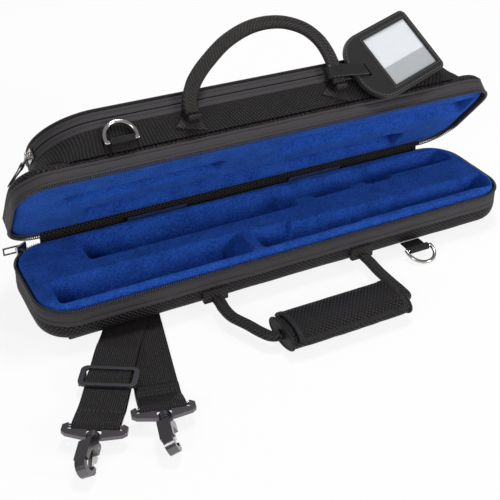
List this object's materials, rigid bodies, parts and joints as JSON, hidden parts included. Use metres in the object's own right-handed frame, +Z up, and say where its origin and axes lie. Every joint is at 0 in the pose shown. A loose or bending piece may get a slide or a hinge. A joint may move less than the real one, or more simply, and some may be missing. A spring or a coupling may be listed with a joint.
{
  "type": "flute case",
  "caption": "Soft zip case for a flute, open on its folded shoulder strap, with fitted plush cushions, a zipped lid pocket, two handles, a name tag and swivel hooks.",
  "frame": {"origin": "on the ground under the middle of the base, on the underside of the folded strap that the case lies on", "axes": "+X along the case to the tag's end, -Y out of its front, +Z up; the lid's hinge line runs along X at the back"},
  "size_m": [0.4529, 0.2827, 0.1869],
  "materials": {
    "nylon": "matte",
    "zip_tape": "matte",
    "webbing": "satin",
    "zip_coil": "satin",
    "shell_board": "matte",
    "plush": "matte",
    "lining": "satin",
    "nickel": "gloss",
    "black_chrome": "gloss",
    "leather": "satin",
    "clear_window": "gloss",
    "card": "matte",
    "black_plastic": "satin"
  },
  "bodies": {
    "base": {"base_shell": "shell_board", "base_cover": "nylon", "base_zip_tape": "zip_tape", "base_zip_coil": "zip_coil", "base_insert": "plush", "hinge_fabric": "nylon", "hinge_tab_left": "lining", "hinge_tab_right": "lining", "base_ring_tab": "webbing", "base_anchor_left": "webbing", "base_anchor_right": "webbing", "shoulder_strap": "webbing"},
    "lid": {"lid_shell": "shell_board", "lid_cover": "nylon", "lid_zip_tape": "zip_tape", "lid_zip_coil": "zip_coil", "lid_insert": "plush", "lid_ring_tab": "webbing", "lid_anchor_left": "webbing", "lid_anchor_right": "webbing", "pocket_gusset": "nylon", "pocket_zip_lower": "zip_tape"},
    "pocket_flap": {"pocket_zip_upper": "zip_tape", "pocket_rim": "nylon", "pocket_panel": "nylon"},
    "pocket_slider_body": {"pocket_slider": "nickel"},
    "pocket_pull": {"pocket_pull_ring": "nickel", "pocket_pull_tab": "webbing"},
    "main_slider_body": {"main_slider": "nickel"},
    "main_pull_body": {"main_pull": "black_chrome"},
    "lid_handle_body": {"lid_handle": "webbing", "tag_strap": "leather"},
    "lid_ring_body": {"lid_ring": "nickel"},
    "base_ring_body": {"base_ring": "nickel"},
    "base_handle_body": {"base_handle": "webbing", "grip_pad": "nylon", "grip_binding_left": "webbing", "grip_binding_right": "webbing"},
    "grip_flap_body": {"grip_flap": "nylon", "grip_flap_binding": "webbing"},
    "tag": {"tag_back": "nylon", "tag_frame": "nylon", "tag_window": "clear_window", "tag_card": "card"},
    "strap_slide": {"tri_glide": "black_plastic"},
    "hook_loop_left": {"hook_frame_left": "black_chrome"},
    "hook_loop_right": {"hook_frame_right": "black_chrome"},
    "hook_left": {"hook_body_left": "black_chrome", "hook_pin_left": "nickel"},
    "hook_right": {"hook_body_right": "black_chrome", "hook_pin_right": "nickel"},
    "gate_left": {"hook_gate_left": "nickel"},
    "gate_right": {"hook_gate_right": "nickel"}
  },
  "joints": [
    {"name": "lid_hinge", "type": "hinge", "parent": "base", "child": "lid", "pos_m": [0, 0.054, 0.039], "axis": [-1, 0, 0], "range_deg": [-51.3, 76.7], "deforming": ["hinge_fabric", "hinge_tab_left", "hinge_tab_right"]},
    {"name": "pocket_flap_hinge", "type": "hinge", "parent": "lid", "child": "pocket_flap", "pos_m": [0, 0.08194, 0.06331], "axis": [-1, 0, 0], "range_deg": [0, 75]},
    {"name": "pocket_slider_track", "type": "hinge", "parent": "lid", "child": "pocket_slider_body", "pos_m": [-0.141, 0.04524, 0.10912], "axis": [0, 0.7804, 0.6252], "range_deg": [0, 60]},
    {"name": "pocket_pull_pivot", "type": "hinge", "parent": "pocket_slider_body", "child": "pocket_pull", "pos_m": [-0.18952, 0.04097, 0.11444], "axis": [-0.1392, 0.6192, -0.7728], "range_deg": [0, 90]},
    {"name": "main_slider_track", "type": "hinge", "parent": "base", "child": "main_slider_body", "pos_m": [-0.186, 0.022, 0.0316], "axis": [0, 0, 1], "range_deg": [0, 45]},
    {"name": "main_pull_pivot", "type": "hinge", "parent": "main_slider_body", "child": "main_pull_body", "pos_m": [-0.20389, 0.04853, 0.0316], "axis": [0, 0, 1], "range_deg": [-100, 20]},
    {"name": "lid_handle_hinge", "type": "hinge", "parent": "lid", "child": "lid_handle_body", "pos_m": [0, 0.0042, 0.14274], "axis": [1, 0, 0], "range_deg": [0, 100]},
    {"name": "lid_ring_hinge", "type": "hinge", "parent": "lid", "child": "lid_ring_body", "pos_m": [-0.129, -0.00192, 0.13438], "axis": [1, 0, 0], "range_deg": [0, 150]},
    {"name": "base_ring_hinge", "type": "hinge", "parent": "base", "child": "base_ring_body", "pos_m": [0.109, -0.064, 0.0065], "axis": [-1, 0, 0], "range_deg": [0, 100]},
    {"name": "base_handle_hinge", "type": "hinge", "parent": "base", "child": "base_handle_body", "pos_m": [0, -0.0581, 0.0093], "axis": [-1, 0, 0], "range_deg": [0, 90]},
    {"name": "grip_flap_hinge", "type": "hinge", "parent": "base_handle_body", "child": "grip_flap_body", "pos_m": [0, -0.0973, 0.01072], "axis": [-1, 0, 0], "range_deg": [0, 80]},
    {"name": "tag_hang", "type": "hinge", "parent": "lid_handle_body", "child": "tag", "pos_m": [0, 0.01044, 0.14774], "axis": [1, 0, 0], "range_deg": [-100, 0], "deforming": ["tag_strap"]},
    {"name": "strap_slide_travel", "type": "slide", "parent": "base", "child": "strap_slide", "axis": [-0.5045, -0.8634, 0], "range_m": [-0.018, 0.005]},
    {"name": "hook_loop_left_swing", "type": "hinge", "parent": "base", "child": "hook_loop_left", "pos_m": [-0.21283, -0.14895, 0.0092], "axis": [-0.8634, 0.5045, 0], "range_deg": [0, 80]},
    {"name": "hook_left_swivel", "type": "hinge", "parent": "hook_loop_left", "child": "hook_left", "pos_m": [-0.21283, -0.14895, 0.0092], "axis": [-0.5045, -0.8634, 0], "range_deg": [-90, 90]},
    {"name": "gate_left_hinge", "type": "hinge", "parent": "hook_left", "child": "gate_left", "pos_m": [-0.22135, -0.16586, 0.00666], "axis": [-0.7825, 0.4573, -0.4226], "range_deg": [0, 25], "stiffness_Nm_per_rad": 0.02, "springref_deg": -11.46},
    {"name": "hook_loop_right_swing", "type": "hinge", "parent": "base", "child": "hook_loop_right", "pos_m": [-0.16608, -0.15143, 0.0092], "axis": [-0.9707, 0.2402, 0], "range_deg": [0, 80]},
    {"name": "hook_right_swivel", "type": "hinge", "parent": "hook_loop_right", "child": "hook_right", "pos_m": [-0.16608, -0.15143, 0.0092], "axis": [-0.2402, -0.9707, 0], "range_deg": [-90, 90]},
    {"name": "gate_right_hinge", "type": "hinge", "parent": "hook_right", "child": "gate_right", "pos_m": [-0.16947, -0.17006, 0.00666], "axis": [-0.8798, 0.2177, -0.4226], "range_deg": [0, 25], "stiffness_Nm_per_rad": 0.02, "springref_deg": -11.46}
  ],
  "couplings": [
    {"joint": "tag_hang", "follows": "lid_handle_hinge", "ratio": -1}
  ]
}
